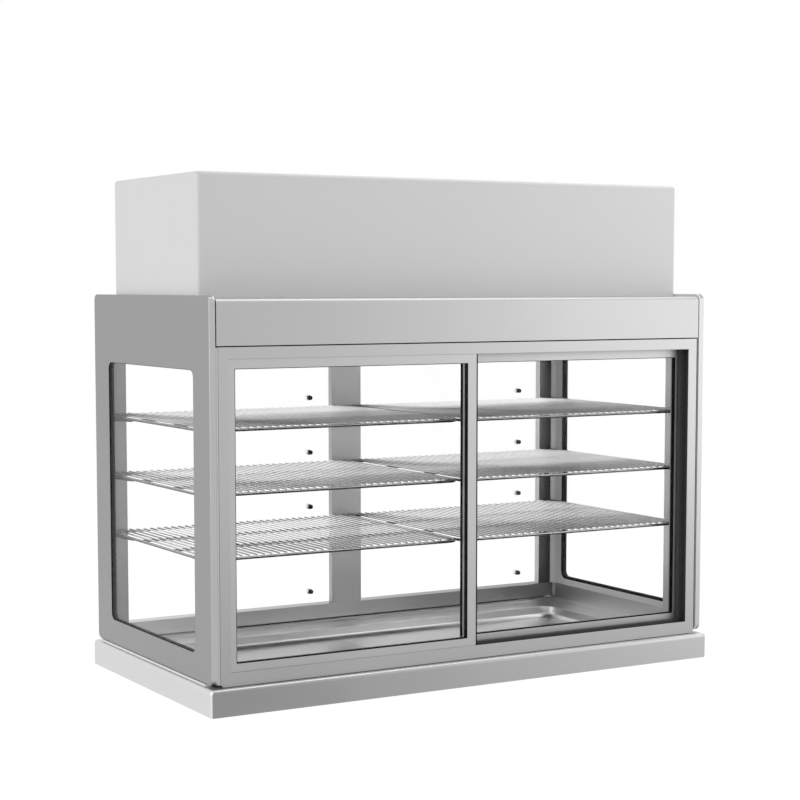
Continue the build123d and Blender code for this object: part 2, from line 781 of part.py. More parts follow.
# Clear flaps, one for each level and bay, hung from pins at their top corners
flap_bottoms = [sill_top + flap_sill_gap] + [height for height in shelf_heights]
flap_tops = [height - flap_edge_gap for height in shelf_heights] + [rear_opening_top - flap_edge_gap]
flap_levels = ("bottom", "low", "middle", "high")
flap_inner_x = centre_post_width / 2 - flap_overlap
flap_outer_x = panel_in - post_width + flap_overlap
flap_middle_x = (flap_inner_x + flap_outer_x) / 2
flap_width = flap_outer_x - flap_inner_x
for side, side_name in ((-1, "left"), (1, "right")):
    knob_x = side * flap_middle_x + flap_width / 2 - knob_side
    for level_name, flap_bottom, flap_top in zip(flap_levels, flap_bottoms, flap_tops):
        axis_z = flap_top - ear_radius
        knob_z = flap_bottom + knob_rise
        with BuildPart() as flap:
            with BuildSketch(Plane.XZ.offset(-flap_front)):
                with Locations((side * flap_middle_x, (flap_bottom + flap_top) / 2)):
                    Rectangle(flap_width, flap_top - flap_bottom)
                with Locations((knob_x, knob_z)):
                    RegularPolygon(stud_radius + stud_fit, knob_sides, major_radius=False, mode=Mode.SUBTRACT)
            extrude(amount=-flap_thickness)
            for end in (-1, 1):
                ear_plane = Plane.YZ.offset(side * flap_middle_x + end * flap_width / 2)
                with BuildSketch(ear_plane):
                    with Locations((flap_middle, axis_z)):
                        RegularPolygon(ear_radius, 8, major_radius=False, rotation=22.5)
                extrude(amount=-end * ear_length)
                with BuildSketch(ear_plane):
                    with Locations((flap_middle, axis_z)):
                        Circle(pin_radius)
                extrude(amount=end * (lug_gap + lug_width))
        save(flap, f"flap_{side_name}_{level_name}")

        with BuildPart() as flap_knob:
            with BuildSketch(Plane.XZ.offset(-flap_back)):
                with Locations((knob_x, knob_z)):
                    RegularPolygon(knob_radius, knob_sides, major_radius=False)
            extrude(amount=-knob_height)
            chamfer(flap_knob.faces().sort_by(Axis.Y)[-1].edges(), knob_edge)
            with BuildSketch(Plane.XZ.offset(-flap_front)):
                with Locations((knob_x, knob_z)):
                    RegularPolygon(stud_radius, knob_sides, major_radius=False)
            extrude(amount=-flap_thickness)
            with BuildSketch(Plane.XZ.offset(-flap_front)):
                with Locations((knob_x, knob_z)):
                    RegularPolygon(cap_radius, knob_sides, major_radius=False)
            extrude(amount=cap_height)
        save(flap_knob, f"knob_{side_name}_{level_name}")

# Lugs on the posts that carry the flap pins
lug_reach = flap_middle + lug_radius - post_back
with BuildPart() as flap_lugs:
    for side in (-1, 1):
        for end in (-1, 1):
            lug_x = side * flap_middle_x + end * (flap_width / 2 + lug_gap)
            with BuildSketch(Plane.YZ.offset(lug_x)):
                for flap_top in flap_tops:
                    with Locations((post_back, flap_top - ear_radius)):
                        Rectangle(lug_reach, 2 * lug_radius, align=(Align.MIN, Align.CENTER))
                    with Locations((flap_middle, flap_top - ear_radius)):
                        RegularPolygon(
                            pin_radius + pin_fit, lug_bore_sides, major_radius=False, mode=Mode.SUBTRACT
                        )
            extrude(amount=end * lug_width)
save(flap_lugs, "flap_lugs")

# Evaporator, a block of fins over the ceiling liner
def fin_block(width, depth, fins, fin_depth):
    with BuildSketch() as outline:
        Rectangle(width, depth)
        with GridLocations(width / fins, 0, fins, 1):
            with Locations((0, depth / 2), (0, -depth / 2)):
                Rectangle(width / fins / 2, 2 * fin_depth, mode=Mode.SUBTRACT)
    return outline.sketch


with BuildPart() as evaporator:
    with BuildSketch(Plane.XY.offset(ceiling_top)):
        with Locations((0, evaporator_front + evaporator_depth / 2)):
            add(fin_block(evaporator_width, evaporator_depth, evaporator_fins, evaporator_fin_depth))
    extrude(amount=evaporator_height)
save(evaporator, "evaporator")

# Compressor, a can with a sloping shoulder on a flange, left in the upper housing
compressor_x = -housing_half / 2
with BuildPart() as compressor:
    with BuildSketch(Plane.XY.offset(header_top)):
        with Locations((compressor_x, housing_middle)):
            RegularPolygon(compressor_radius + compressor_flange, shroud_sides, major_radius=False)
    extrude(amount=sheet)
    with BuildSketch(Plane.XY.offset(header_top + sheet)):
        with Locations((compressor_x, housing_middle)):
            RegularPolygon(compressor_radius, shroud_sides, major_radius=False)
    extrude(amount=compressor_height)
    chamfer(compressor.faces().sort_by(Axis.Z)[-1].edges(), compressor_edge)
save(compressor, "compressor")

# Condenser, an upright block of fins right in the upper housing
condenser_x = housing_half / 2
with BuildPart() as condenser:
    with BuildSketch(Plane.XY.offset(header_top)):
        with Locations((condenser_x, housing_middle)):
            add(fin_block(condenser_width, condenser_depth, condenser_fins, condenser_fin_depth))
    extrude(amount=condenser_height)
save(condenser, "condenser")

# Fans, one blowing through the hole in the ceiling and one through the condenser. Each
# blade is a flat plate set at the twist angle, as wide as the shroud's depth lets it be.
condenser_fan_y = housing_middle - condenser_depth / 2 - shroud_depth
fan_places = (
    ("evaporator", Plane((0, fan_y, ceiling_top + shroud_depth), z_dir=(0, 0, -1))),
    ("condenser", Plane((condenser_x, condenser_fan_y, header_top + condenser_height / 2), z_dir=(0, 1, 0))),
)
twist = fan_twist * pi / 180
fan_chord = (shroud_depth - 2 * fan_clear - fan_blade * cos(twist)) / sin(twist)
blade_root = fan_hub - blade_sink
blade_tip = (fan_radius**2 - (fan_chord * cos(twist) + fan_blade * sin(twist)) ** 2 / 4) ** 0.5
with BuildPart() as fan_mounts:
    for _, fan_plane in fan_places:
        with BuildSketch(fan_plane):
            RegularPolygon(shroud_radius, shroud_sides, major_radius=False)
            RegularPolygon(fan_radius + fan_tip_gap, shroud_sides, major_radius=False, mode=Mode.SUBTRACT)
        extrude(amount=shroud_depth)
        with BuildSketch(fan_plane):
            RegularPolygon(fan_hub, shroud_sides)
            Rectangle(2 * shroud_radius, strut_width)
            Rectangle(strut_width, 2 * shroud_radius)
        extrude(amount=-sheet)
        with BuildSketch(fan_plane.offset(-sheet)):
            RegularPolygon(fan_hub, shroud_sides)
        extrude(amount=-motor_length)
save(fan_mounts, "fan_mounts")

for fan_name, fan_plane in fan_places:
    with BuildPart() as fan:
        with BuildSketch(fan_plane.offset(fan_clear)):
            Circle(fan_hub)
        extrude(amount=shroud_depth - 2 * fan_clear)
        fan_middle = fan_plane.offset(shroud_depth / 2)
        for blade in range(fan_blades):
            turn = 2 * pi / fan_blades * blade
            radial = fan_plane.x_dir * cos(turn) + fan_plane.y_dir * sin(turn)
            sideways = fan_plane.y_dir * cos(turn) - fan_plane.x_dir * sin(turn)
            face_dir = fan_plane.z_dir * cos(twist) - sideways * sin(twist)
            with BuildSketch(Plane(fan_middle.origin, x_dir=radial, z_dir=face_dir)):
                Polygon(
                    (blade_root, -fan_root_width / 2),
                    (blade_tip, -fan_chord / 2),
                    (blade_tip, fan_chord / 2),
                    (blade_root, fan_root_width / 2),
                    align=None,
                )
            extrude(amount=fan_blade / 2, both=True)
    save(fan, f"{fan_name}_fan")
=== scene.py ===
# %% [markdown]
# # A refrigerated display cabinet, dressed for a studio picture
#
# The cabinet's sheet, frames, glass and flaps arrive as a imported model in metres,
# Z up, with the origin under the centre of the base. This lesson gives each of them
# a finish, makes the wire shelves, glazing rubber and knobs that the plain model only
# hints at, and lights the whole thing like a catalogue picture.

import math
from collections import namedtuple

import bpy
from mathutils import Matrix


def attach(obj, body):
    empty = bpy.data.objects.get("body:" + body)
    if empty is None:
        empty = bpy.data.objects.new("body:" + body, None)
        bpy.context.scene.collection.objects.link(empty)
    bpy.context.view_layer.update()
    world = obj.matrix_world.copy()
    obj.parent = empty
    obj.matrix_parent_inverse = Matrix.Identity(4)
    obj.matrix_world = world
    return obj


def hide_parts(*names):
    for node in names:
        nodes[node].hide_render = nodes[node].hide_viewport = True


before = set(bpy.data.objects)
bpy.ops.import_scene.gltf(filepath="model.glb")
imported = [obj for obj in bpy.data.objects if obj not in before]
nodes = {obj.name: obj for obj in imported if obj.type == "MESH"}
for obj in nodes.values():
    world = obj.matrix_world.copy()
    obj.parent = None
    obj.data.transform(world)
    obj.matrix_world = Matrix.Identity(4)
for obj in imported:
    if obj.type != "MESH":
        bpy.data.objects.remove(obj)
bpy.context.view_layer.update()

# %% [markdown]
# ## The camera
#
# The picture was taken from a little below the top of the cabinet with a long lens,
# from the left of the sliding doors. The horizon lies slightly under the middle of
# the picture, so the lens is shifted a little and not only tilted, which keeps the
# uprights nearly parallel.

# %% Camera
camera_place = (-2.0629, -3.532, 0.8229)
camera_heading = -30.21
camera_tilt = -4.87
camera_lens = 84.76
camera_shift = 0.05625
film_width = 36

camera_data = bpy.data.cameras.new("camera")
camera_data.lens = camera_lens
camera_data.sensor_width = film_width
camera_data.shift_y = camera_shift
camera = bpy.data.objects.new("camera", camera_data)
camera.location = camera_place
camera.rotation_euler = (math.radians(90 + camera_tilt), 0, math.radians(camera_heading))
bpy.context.scene.collection.objects.link(camera)
bpy.context.scene.camera = camera
bpy.context.scene.view_settings.view_transform = "Standard"
print("lens", camera_lens, "mm")

# %% [markdown]
# ## Helpers for finishes
#
# Colours are written the way a paint chart gives them, as sRGB hex values, and one
# function turns them to the linear values that a renderer adds up. Another small
# function adds a node to a tree with its settings and its inputs, so that each finish
# and each shape below reads as a short list. An input is named by its label, or by
# `i` and its number where several inputs share a label. Its value is a plain value, a
# socket, or a node, and a node stands for its first output in use.


# %% Colour and node helpers
def linear(hex_colour):
    values = [int(hex_colour[k : k + 2], 16) / 255 for k in (0, 2, 4)]
    return [v / 12.92 if v <= 0.04045 else ((v + 0.055) / 1.055) ** 2.4 for v in values] + [1.0]


def add_node(tree, kind, settings=None, **inputs):
    node = tree.nodes.new(kind)
    for name, value in (settings or {}).items():
        setattr(node, name, value)
    for name, value in inputs.items():
        numbered = name[0] == "i" and name[1:].isdigit()
        key = int(name[1:]) if numbered else name.replace("_", " ")
        if isinstance(value, bpy.types.Node):
            value = next(output for output in value.outputs if output.enabled)
        if isinstance(value, bpy.types.NodeSocket):
            tree.links.new(value, node.inputs[key])
        else:
            node.inputs[key].default_value = value
    return node


def new_material(name):
    material = bpy.data.materials.new(name)
    material.use_nodes = True
    tree = material.node_tree
    tree.nodes.clear()
    return material, tree, add_node(tree, "ShaderNodeTexCoord").outputs["Object"]


def finished(material, surface):
    add_node(material.node_tree, "ShaderNodeOutputMaterial", Surface=surface)
    return material


colour_mix = {"data_type": "RGBA"}
print("white is", linear("FFFFFF"))

# %% [markdown]
# ## Tones that change with place, painted as light and shade
#
# In the picture many sheets change tone along their length or across a fold, as sheets
# do that mirror a studio out of sight. One way is to build that studio, but its shape
# isn't known. A white world and three lamps give a part of the change, so the finish
# paints the rest into the colour: each change is painted reflection, light and shade.
# Each `Change` gives the axis, whether both sides of the middle count alike, where in
# metres the change starts and ends, the two tones past it, and how metallic the sheet is
# there. A face that looks into the cabinet is pale in the picture where a plain mirror
# would go dark, so it is painted pale as painted light and made less metallic.
#
# The shelf wires get painted shade in another way, by how far up a face looks.

# %% Two ways to change a tone
Change = namedtuple("Change", "axis both_sides start end low high metallic")


# Paints light, shade and reflection into a sheet's tone by its place.
def change_tone(tree, place, cloud, tint, metallic, change):
    reach = add_node(tree, "ShaderNodeSeparateXYZ", Vector=place).outputs[change.axis]
    if change.both_sides:
        reach = add_node(tree, "ShaderNodeMath", {"operation": "ABSOLUTE"}, i0=reach)
    past = add_node(
        tree, "ShaderNodeMapRange", Value=reach, From_Min=change.start, From_Max=change.end
    )
    low, high = linear(change.low), linear(change.high)
    far = add_node(tree, "ShaderNodeMix", colour_mix, i0=cloud, i6=low, i7=high)
    tint = add_node(tree, "ShaderNodeMix", colour_mix, i0=past, i6=tint, i7=far)
    if change.metallic != metallic:
        metallic = add_node(tree, "ShaderNodeMix", i0=past, i2=metallic, i3=change.metallic)
    return tint, metallic


# Painted shade: a face that looks down takes the dark tone.
def darken_underside(tree, tint, dark, dark_at, bright_at):
    facing = add_node(tree, "ShaderNodeNewGeometry").outputs["Normal"]
    upward = add_node(tree, "ShaderNodeSeparateXYZ", Vector=facing).outputs["Z"]
    lit = add_node(
        tree, "ShaderNodeMapRange", Value=upward, From_Min=dark_at, From_Max=bright_at
    )
    return add_node(tree, "ShaderNodeMix", colour_mix, i0=lit, i6=linear(dark), i7=tint)


print("a change gives", ", ".join(Change._fields))

# %% [markdown]
# ## Metal with a grain
#
# The header, panels, posts and pan are satin stainless steel, ground with a fine belt,
# so that it has straight grain about a tenth of a millimetre wide. Such grain is too
# fine for this picture, so it is drawn near half a millimetre wide and faint. One way
# is anisotropic reflection, but a stretched noise in the roughness and a slight bump
# reads the same at this distance. The grain runs along the sheet, so each finish gives
# its darker tone, its paler tone, the way of its grain and its roughness.

# %% The metal finish
grain_width = 0.0005
grain_length = 0.12
grain_height = 0.0002
cloud_scale = 3.0


def grained_metal(
    name, low, high, along, roughness, bump=0.04, vary=0.06, changes=(), underside=None
):
    material, tree, place = new_material(name)
    scale = [1 / grain_width] * 3
    scale["XYZ".index(along)] = 1 / grain_length
    stretched = add_node(tree, "ShaderNodeMapping", Vector=place, Scale=scale)
    grain = add_node(tree, "ShaderNodeTexNoise", Vector=stretched, Scale=1.0, Detail=3.0)
    cloud = add_node(tree, "ShaderNodeTexNoise", Vector=place, Scale=cloud_scale, Detail=2.0)
    darker, paler = linear(low), linear(high)
    tint = add_node(tree, "ShaderNodeMix", colour_mix, i0=cloud, i6=darker, i7=paler)
    metallic = 1.0
    for change in changes:
        tint, metallic = change_tone(tree, place, cloud, tint, metallic, change)
    if underside:
        tint = darken_underside(tree, tint, *underside)
    smooth, rough = roughness - vary, roughness + vary
    gloss = add_node(tree, "ShaderNodeMapRange", Value=grain, To_Min=smooth, To_Max=rough)
    ridge = add_node(
        tree, "ShaderNodeBump", Strength=bump, Distance=grain_height, Height=grain
    )
    shader = add_node(
        tree,
        "ShaderNodeBsdfPrincipled",
        Base_Color=tint,
        Metallic=metallic,
        Roughness=gloss,
        Normal=ridge,
    )
    return finished(material, shader)


print("grain drawn", grain_width * 1000, "mm wide")

# %% [markdown]
# ## Stainless sheet
#
# The panels have a paler inner face and a slightly brighter front edge, both painted
# light. The right post is painted dark towards the camera as painted shade, and pale on
# its two returns as painted light. The sill darkens and the skirt brightens from left to
# right, and the skirt's ends are bright: painted shade on the sill and painted light on
# the skirt. The parts are copies of one steel with tones set part by part, partly as
# painted light and shade.

# %% Stainless sheet
# Painted light: the panels' pale inner face and brighter front edge.
panel_painted_light = (
    Change("X", True, 0.5822, 0.5818, "E8E8E8", "EEEEEE", 0.15),
    Change("Y", True, 0.2928, 0.2934, "B0B0B0", "B6B6B6", 1.0),
)
# Painted light: the right post's two returns are pale.
post_returns_painted_light = (
    Change("X", True, 0.5695, 0.5697, "E8E8E8", "EEEEEE", 0.15),
    Change("X", True, 0.5362, 0.5358, "E0E0E0", "E6E6E6", 0.3),
)
# Painted shade: the sill darkens towards the right.
sill_painted_shade = (Change("X", False, -0.5, 0.4, "808081", "868686", 1.0),)
# Painted light: the skirt brightens to the right and at its ends.
skirt_painted_light = (
    Change("X", False, -0.6, 0.6, "B0B0B0", "B6B6B6", 1.0),
    Change("Y", True, 0.3068, 0.306, "D4D4D4", "DADADA", 1.0),
)
panel_steel = grained_metal(
    "stainless_panel", "979798", "9D9D9D", "Z", 0.42, changes=panel_painted_light
)
header_steel = grained_metal("stainless_header", "AEAEAF", "B4B4B4", "X", 0.45)
post_steel = grained_metal("stainless_post", "8A8A8B", "909090", "Z", 0.36)
centre_steel = grained_metal("stainless_centre_post", "A8A8A9", "AEAEAE", "Z", 0.36)
# Painted shade: the right post is drawn dark towards the camera.
shaded_post_steel = grained_metal(
    "stainless_shaded_post", "464647", "4C4C4C", "Z", 0.36, changes=post_returns_painted_light
)
pan_steel = grained_metal(
    "stainless_pan", "CCCCCD", "D2D2D2", "X", 0.34, bump=0.004, vary=0.02
)
sill_steel = grained_metal(
    "stainless_sill", "C6C6C6", "CCCCCC", "X", 0.34, bump=0.01, changes=sill_painted_shade
)
strip_steel = grained_metal("stainless_strip", "D6D6D6", "DCDCDC", "Y", 0.4)
trim_steel = grained_metal("stainless_trim", "CACACA", "D0D0D0", "Z", 0.4)
skirt_steel = grained_metal(
    "stainless_skirt", "8E8E8F", "949494", "X", 0.45, changes=skirt_painted_light
)
print("stainless", len([m for m in bpy.data.materials if m.name.startswith("stainless")]))

# %% [markdown]
# ## Anodised aluminium
#
# The sliding doors and their fixed frame are extruded aluminium, satin anodised. The
# etch before anodising leaves an even, slightly pearly metal with no visible grain
# apart from faint lines along the extrusion, so it is the same finish with a weaker
# bump. In the picture both get darker towards the base, and the finish paints that
# darkening into the tone as painted shade.

# %% Anodised aluminium
# Painted shade: the frame and the doors darken towards the base.
frame_painted_shade = (Change("Z", False, 0.45, 0.05, "A1A1A1", "A6A6A6", 1.0),)
door_painted_shade = (Change("Z", False, 0.35, 0.05, "A6A6A6", "ABABAB", 1.0),)
frame_metal = grained_metal(
    "anodised_frame", "AFAFAF", "B4B4B4", "Z", 0.45, bump=0.02, changes=frame_painted_shade
)
door_metal = grained_metal(
    "anodised_door", "B2B2B2", "B7B7B7", "Z", 0.45, bump=0.02, changes=door_painted_shade
)
fin_metal = grained_metal("aluminium_fins", "B0B0B0", "B8B8B8", "Z", 0.35)
spacer_metal = grained_metal("anodised_spacer", "181819", "1E1E1E", "Z", 0.5, bump=0.02)
print("aluminium finishes ready")

# %% [markdown]
# ## Painted sheet
#
# The upper housing is sheet with a light grey powder coat. Powder coat flows into a
# skin with a very fine orange peel, a few millimetres from crest to crest, which
# softens every reflection. A noise at that scale drives a slight bump, and a slow
# noise keeps the colour from being dead flat. The compressor is enamelled black.

# %% Powder coat
peel_pitch = 0.003
peel_height = 0.0002
peel_bump = 0.05
peel_vary = 0.04
coat_cloud_scale = 2.0


def powder_coat(name, low, high, roughness):
    material, tree, place = new_material(name)
    cloud = add_node(
        tree, "ShaderNodeTexNoise", Vector=place, Scale=coat_cloud_scale, Detail=2.0
    )
    peel = add_node(tree, "ShaderNodeTexNoise", Vector=place, Scale=1 / peel_pitch, Detail=1.0)
    tint = add_node(tree, "ShaderNodeMix", colour_mix, i0=cloud, i6=linear(low), i7=linear(high))
    smooth, rough = roughness - peel_vary, roughness + peel_vary
    gloss = add_node(tree, "ShaderNodeMapRange", Value=peel, To_Min=smooth, To_Max=rough)
    ridge = add_node(
        tree, "ShaderNodeBump", Strength=peel_bump, Distance=peel_height, Height=peel
    )
    shader = add_node(
        tree, "ShaderNodeBsdfPrincipled", Base_Color=tint, Roughness=gloss, Normal=ridge
    )
    return finished(material, shader)


housing_coat = powder_coat("powder_coat_housing", "D2D2D2", "D6D6D6", 0.45)
machine_coat = powder_coat("black_enamel", "161616", "1C1C1C", 0.35)
print("painted finishes", housing_coat.name, machine_coat.name)

# %% [markdown]
# ## Rubber and plastics
#
# The glazing gaskets are extruded rubber, nearly black and matt. The tracks and jambs
# are a dark grey extruded plastic with a soft shine. The sliders are white acetal.
# Their moulded skin has a fine texture of under a millimetre. Rubber has a powdery
# bloom that kills its gloss, so its specular level is low.

# %% Rubber and plastics
skin_texture = 0.0008
skin_height = 0.0001
skin_bump = 0.08
skin_vary = 0.05


def moulded(name, low, high, roughness, specular=0.5):
    material, tree, place = new_material(name)
    speck = add_node(
        tree, "ShaderNodeTexNoise", Vector=place, Scale=1 / skin_texture, Detail=2.0
    )
    tint = add_node(tree, "ShaderNodeMix", colour_mix, i0=speck, i6=linear(low), i7=linear(high))
    smooth, rough = roughness - skin_vary, roughness + skin_vary
    gloss = add_node(tree, "ShaderNodeMapRange", Value=speck, To_Min=smooth, To_Max=rough)
    ridge = add_node(
        tree, "ShaderNodeBump", Strength=skin_bump, Distance=skin_height, Height=speck
    )
    shader = add_node(
        tree,
        "ShaderNodeBsdfPrincipled",
        Base_Color=tint,
        Roughness=gloss,
        Specular_IOR_Level=specular,
        Normal=ridge,
    )
    return finished(material, shader)


gasket_rubber = moulded("epdm_gasket", "060606", "0B0B0B", 0.7, 0.15)
track_plastic = moulded("pvc_track", "444446", "4B4B4D", 0.5, 0.3)
black_plastic = moulded("black_nylon", "0C0C0C", "131313", 0.5, 0.3)
slider_plastic = moulded("white_acetal", "DEDEDA", "E6E6E2", 0.35)
# Painted shade: the steel shelf brackets are drawn near black for the shade and dark reflection
# beside the posts.
bracket_painted_shade = moulded("dark_bracket_painted_shade", "202020", "2A2A2A", 0.4, 0.3)
print("rubber and plastics ready")

# %% [markdown]
# ## Glass and acrylic
#
# The doors and side windows are clear float glass, and the customer flaps are clear
# acrylic. The panes hardly show in the picture, as glass with an anti-reflective coat
# would, so their index of refraction is lower than plain glass has. Clear sheet lets
# lamps through to what stands behind it. A renderer's refracting glass doesn't,
# because its light paths bend, so the shadow of a pane is made transparent with the
# Light Path node, and the eye still sees a refracting and reflecting pane. A faint
# noise in the roughness stands for a wiped surface.

# %% Clear sheet
wipe_scale = 4.0
wipe_roughness = 0.01


def clear_sheet(name, tint, ior):
    material, tree, place = new_material(name)
    wipe = add_node(tree, "ShaderNodeTexNoise", Vector=place, Scale=wipe_scale, Detail=2.0)
    gloss = add_node(
        tree, "ShaderNodeMapRange", Value=wipe, To_Min=0.0, To_Max=wipe_roughness
    )
    shader = add_node(
        tree,
        "ShaderNodeBsdfPrincipled",
        Base_Color=linear(tint),
        Roughness=gloss,
        Transmission_Weight=1.0,
        IOR=ior,
    )
    through = add_node(tree, "ShaderNodeBsdfTransparent", Color=linear(tint))
    shadow = add_node(tree, "ShaderNodeLightPath").outputs["Is Shadow Ray"]
    return finished(
        material, add_node(tree, "ShaderNodeMixShader", i0=shadow, i1=shader, i2=through)
    )


float_glass = clear_sheet("float_glass", "FFFFFF", 1.1)
acrylic = clear_sheet("clear_acrylic", "FFFFFF", 1.2)
print("clear sheet", float_glass.name, acrylic.name)

# %% [markdown]
# ## Plated wire
#
# Shelf wire is drawn steel, welded and then bright plated. The plating is a mirror
# with slight waves where the drawing die pulled the wire, so its roughness is low and
# varies along the wire. A bright wire in a white room has a light top and a dark
# underside, and that contrast is what makes the rows of wires readable. The wires here
# are thinner than three picture dots, where a mirror alone averages out to grey, so
# the finish paints the dark underside into the colour by the way that the surface
# faces: painted shade. Three values say how: the tone, how far up a face looks where it
# starts to lighten, and where it is fully bright. The wires are also painted palest at
# the back, as in the picture, which is painted light.

# %% Plated wire and turned metal
# Painted light on the wires' back part, and painted shade on rod and wire undersides.
wire_painted_light = (Change("Y", False, -0.16, -0.05, "F4F4F4", "FAFAFA", 1.0),)
plated_rod = grained_metal(
    "nickel_plated_rod",
    "C8C8C9",
    "D8D8D8",
    "Y",
    0.2,
    bump=0.02,
    underside=("303031", -0.1, 0.8),
)
plated_wire = grained_metal(
    "nickel_plated_wire",
    "CCCCCD",
    "D6D6D6",
    "Y",
    0.2,
    bump=0.02,
    changes=wire_painted_light,
    underside=("727273", -0.5, 0.4),
)
turned_metal = grained_metal("turned_knob_metal", "E6E6E6", "F0F0F0", "Y", 0.2, bump=0.02)
lug_metal = grained_metal("turned_pin_metal", "8C8C8C", "989898", "X", 0.3, bump=0.02)
print("materials", len(bpy.data.materials))

# %% [markdown]
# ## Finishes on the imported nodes
#
# A node's shape is right as it comes, so it only gets its finish. The rules go from
# the general to the particular: the last one that fits a name wins.

# %% Assign finishes
finishes = (
    ("", header_steel),
    ("base_skirt", skirt_steel),
    ("upper_housing", housing_coat),
    ("side_panel", panel_steel),
    ("rear_post_left", post_steel),
    ("rear_post_right", shaded_post_steel),
    ("centre_post", centre_steel),
    ("rear_sill", sill_steel),
    ("floor_pan", pan_steel),
    ("foot_strips", strip_steel),
    ("corner_trim", trim_steel),
    ("door_frame", frame_metal),
    ("front_door_frame", door_metal),
    ("rear_door_frame", door_metal),
    ("front_door_seal", gasket_rubber),
    ("rear_door_seal", gasket_rubber),
    ("side_gaskets", gasket_rubber),
    ("front_door_glass", float_glass),
    ("rear_door_glass", float_glass),
    ("side_glass", float_glass),
    ("front_door_glides", slider_plastic),
    ("rear_door_glides", slider_plastic),
    ("door_tracks", track_plastic),
    ("jamb_seals", track_plastic),
    ("frame_packers", black_plastic),
    ("cable_gland", black_plastic),
    ("fan_mounts", black_plastic),
    ("evaporator", fin_metal),
    ("evaporator_fan", black_plastic),
    ("condenser", fin_metal),
    ("condenser_fan", black_plastic),
    ("compressor", machine_coat),
    ("shelf", plated_wire),
    ("shelf_brackets", bracket_painted_shade),
    ("flap", acrylic),
    ("flap_lugs", lug_metal),
    ("knob", turned_metal),
)
for node_name, node in nodes.items():
    fitting = [material for start, material in finishes if node_name.startswith(start)]
    node.data.materials.clear()
    node.data.materials.append(fitting[-1])
print("finished nodes", len(nodes))

# %% [markdown]
# ## Eased edges
#
# No sheet edge is knife sharp: a fold has a small radius and a cut edge is dressed,
# and both catch a thin line of light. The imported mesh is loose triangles, so a Weld
# modifier joins them first, and a Bevel modifier then eases every edge that turns by
# more than thirty degrees. The mesh itself stays as it is.

# %% Ease the folds
weld_distance = 0.00001
fold_angle = 30
edge_radius = {
    "floor_pan": 0.0012,
    "rear_sill": 0.001,
    "door_frame": 0.0007,
    "front_door_frame": 0.0006,
    "rear_door_frame": 0.0006,
    "foot_strips": 0.0006,
    "rear_post_left": 0.0008,
    "rear_post_right": 0.0008,
    "centre_post": 0.0012,
    "shelf_brackets": 0.0005,
}
for node_name, radius in edge_radius.items():
    weld = nodes[node_name].modifiers.new("weld", "WELD")
    weld.merge_threshold = weld_distance
    ease = nodes[node_name].modifiers.new("ease", "BEVEL")
    ease.width = radius
    ease.segments = 2
    ease.limit_method = "ANGLE"
    ease.angle_limit = math.radians(fold_angle)
print("eased nodes", len(edge_radius))

# %% [markdown]
# ## Growing a shape from a rule
#
# Wire shelves and rubber lips follow simple rules, so Geometry Nodes make them. Each
# tree has named inputs for its sizes. A throwaway object carries the tree, the result
# is read back as a plain mesh, and the object goes away again, so that what stays in
# the scene is an ordinary mesh.


# %% Grow, place and hand over a piece
def grown(tree, sizes):
    seed = bpy.data.objects.new("seed", bpy.data.meshes.new("seed"))
    bpy.context.scene.collection.objects.link(seed)
    rule = seed.modifiers.new("rule", "NODES")
    rule.node_group = tree
    for socket in tree.interface.items_tree:
        if socket.in_out == "INPUT" and socket.name in sizes:
            rule[socket.identifier] = sizes[socket.name]
    graph = bpy.context.evaluated_depsgraph_get()
    mesh = bpy.data.meshes.new_from_object(seed.evaluated_get(graph))
    bpy.data.objects.remove(seed)
    return mesh


def placed(name, mesh, move, body):
    own = mesh.copy()
    own.transform(move)
    piece = bpy.data.objects.new(name, own)
    bpy.context.scene.collection.objects.link(piece)
    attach(piece, body)
    return piece


def rule_tree(name, sizes):
    tree = bpy.data.node_groups.new(name, "GeometryNodeTree")
    for size, kind in sizes.items():
        tree.interface.new_socket(size, in_out="INPUT", socket_type=kind)
    tree.interface.new_socket("Shape", in_out="OUTPUT", socket_type="NodeSocketGeometry")
    return tree, add_node(tree, "NodeGroupInput").outputs


LENGTH, WHOLE, FINISH = "NodeSocketFloat", "NodeSocketInt", "NodeSocketMaterial"
corner_steps = 8
print("kinds of input", LENGTH, WHOLE, FINISH)

# %% [markdown]
# ## Wire shelves
#
# Each shelf is a rod bent into a ring with round corners, two rods across it, and
# thirty-five thin wires welded on top from front to back. The ring could be swept by
# hand and the wires copied one by one. As a rule it is shorter: a rectangle with
# rounded corners becomes a tube, one wire is set on a row of points, and the counts
# and pitches stay readable as inputs. Each wire is an eight-sided bar, because there
# are more than two hundred of them.

# %% The ring of the shelf rule
rod_sides, wire_sides = 12, 8
shelf_rule, given = rule_tree(
    "wire_shelf",
    {
        "Width": LENGTH,
        "Depth": LENGTH,
        "Corner": LENGTH,
        "Rod": LENGTH,
        "Wire": LENGTH,
        "Pitch": LENGTH,
        "Wires": WHOLE,
        "Rise": LENGTH,
        "Spread": LENGTH,
        "Rod Material": FINISH,
        "Wire Material": FINISH,
    },
)
rectangle = add_node(
    shelf_rule,
    "GeometryNodeCurvePrimitiveQuadrilateral",
    Width=given["Width"],
    Height=given["Depth"],
)
bent = add_node(
    shelf_rule,
    "GeometryNodeFilletCurve",
    {"mode": "POLY"},
    Curve=rectangle,
    Radius=given["Corner"],
    Count=corner_steps,
)
times = {"operation": "MULTIPLY"}
rod_radius = add_node(shelf_rule, "ShaderNodeMath", times, i0=given["Rod"], i1=0.5)
wire_radius = add_node(shelf_rule, "ShaderNodeMath", times, i0=given["Wire"], i1=0.5)
circle = "GeometryNodeCurvePrimitiveCircle"
rod_round = add_node(shelf_rule, circle, Resolution=rod_sides, Radius=rod_radius)
wire_round = add_node(shelf_rule, circle, Resolution=wire_sides, Radius=wire_radius)
